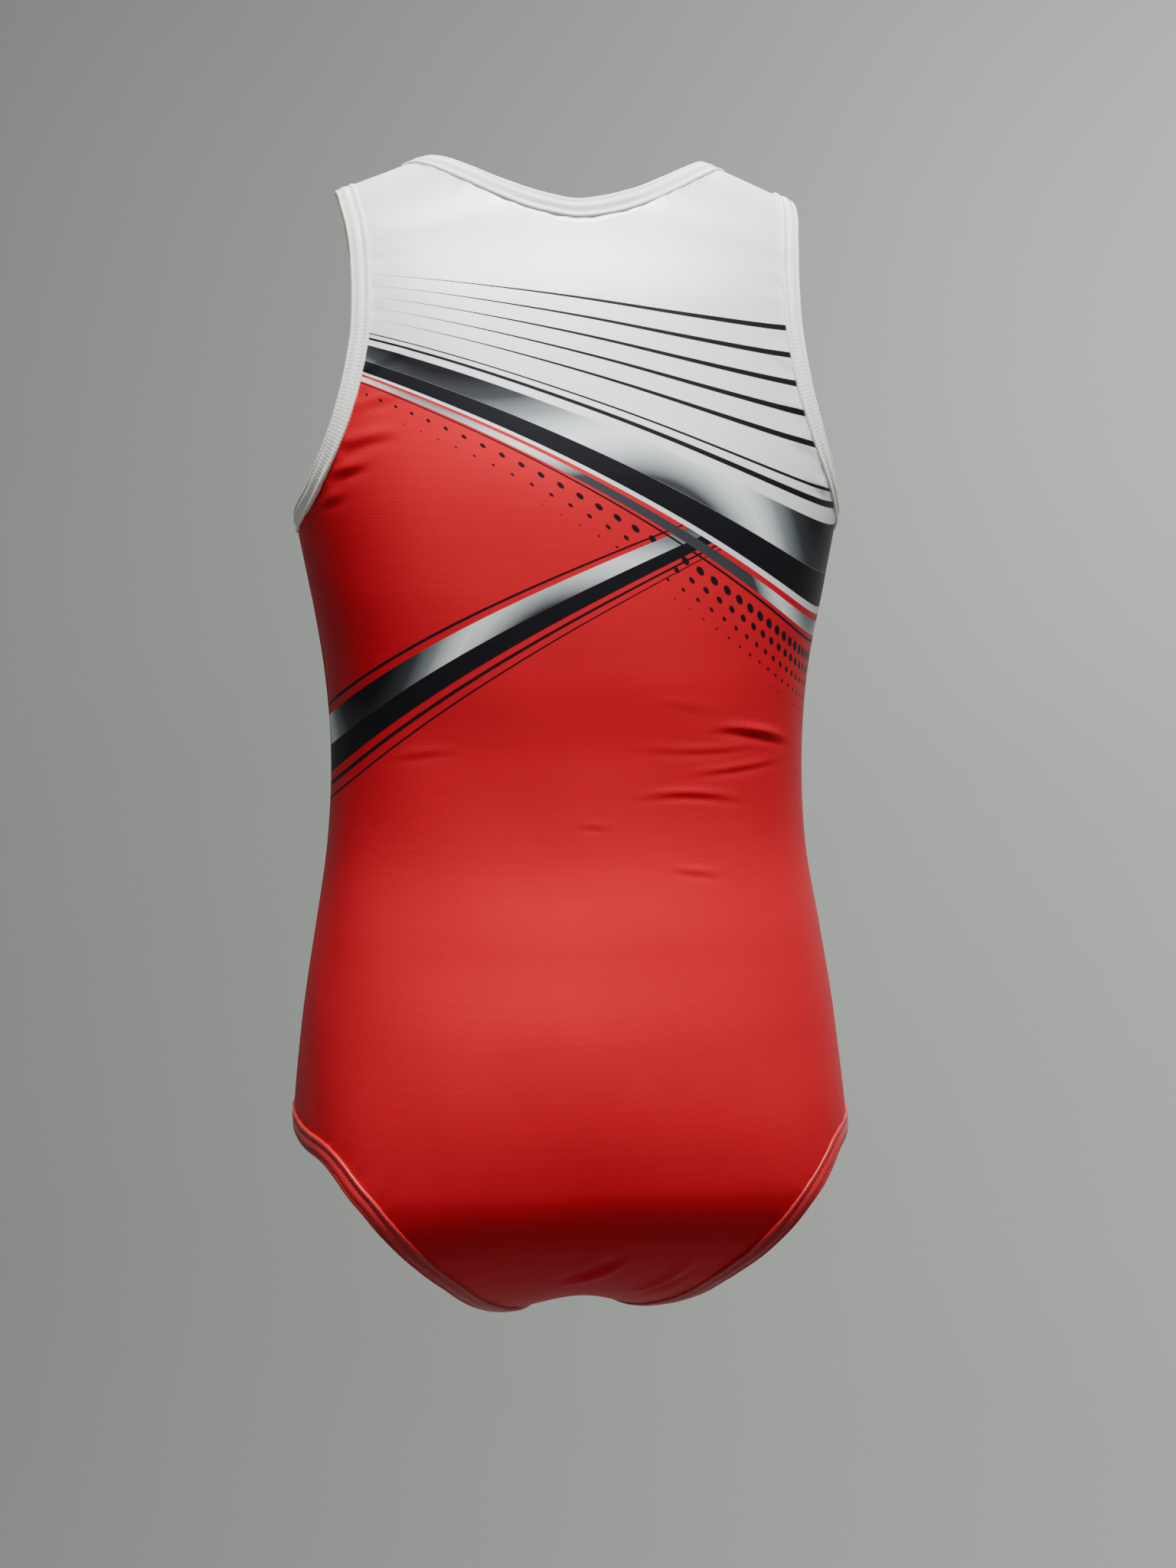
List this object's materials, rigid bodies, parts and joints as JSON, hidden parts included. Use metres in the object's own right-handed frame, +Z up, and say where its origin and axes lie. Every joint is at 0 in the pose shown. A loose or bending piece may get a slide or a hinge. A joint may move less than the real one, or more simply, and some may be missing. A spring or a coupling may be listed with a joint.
{
  "type": "sleeveless leotard",
  "caption": "Child's sleeveless leotard of stretch knit in its worn form, with scooped neck, bound armholes and bound leg openings.",
  "frame": {"origin": "midway between the two shoulder seams, at the underside of the straps, where the garment rests on its wearer's shoulders", "axes": "+Z up the worn garment, -Y towards the side of its back, +Y towards the side of its front, +X towards the wearer's right"},
  "size_m": [0.262, 0.1845, 0.5319],
  "materials": {
    "printed_knit": "satin stretch knit, red with white shoulders",
    "white_binding": "folded white elastic binding, topstitched",
    "red_binding": "folded red elastic binding, topstitched"
  },
  "bodies": {
    "root": {"back_panel": "printed_knit", "front_panel": "printed_knit", "neck_binding_back": "white_binding", "neck_binding_front": "white_binding", "armhole_binding_back_left": "white_binding", "armhole_binding_back_right": "white_binding", "armhole_binding_front_left": "white_binding", "armhole_binding_front_right": "white_binding", "leg_binding_left": "red_binding", "leg_binding_right": "red_binding"}
  },
  "joints": []
}
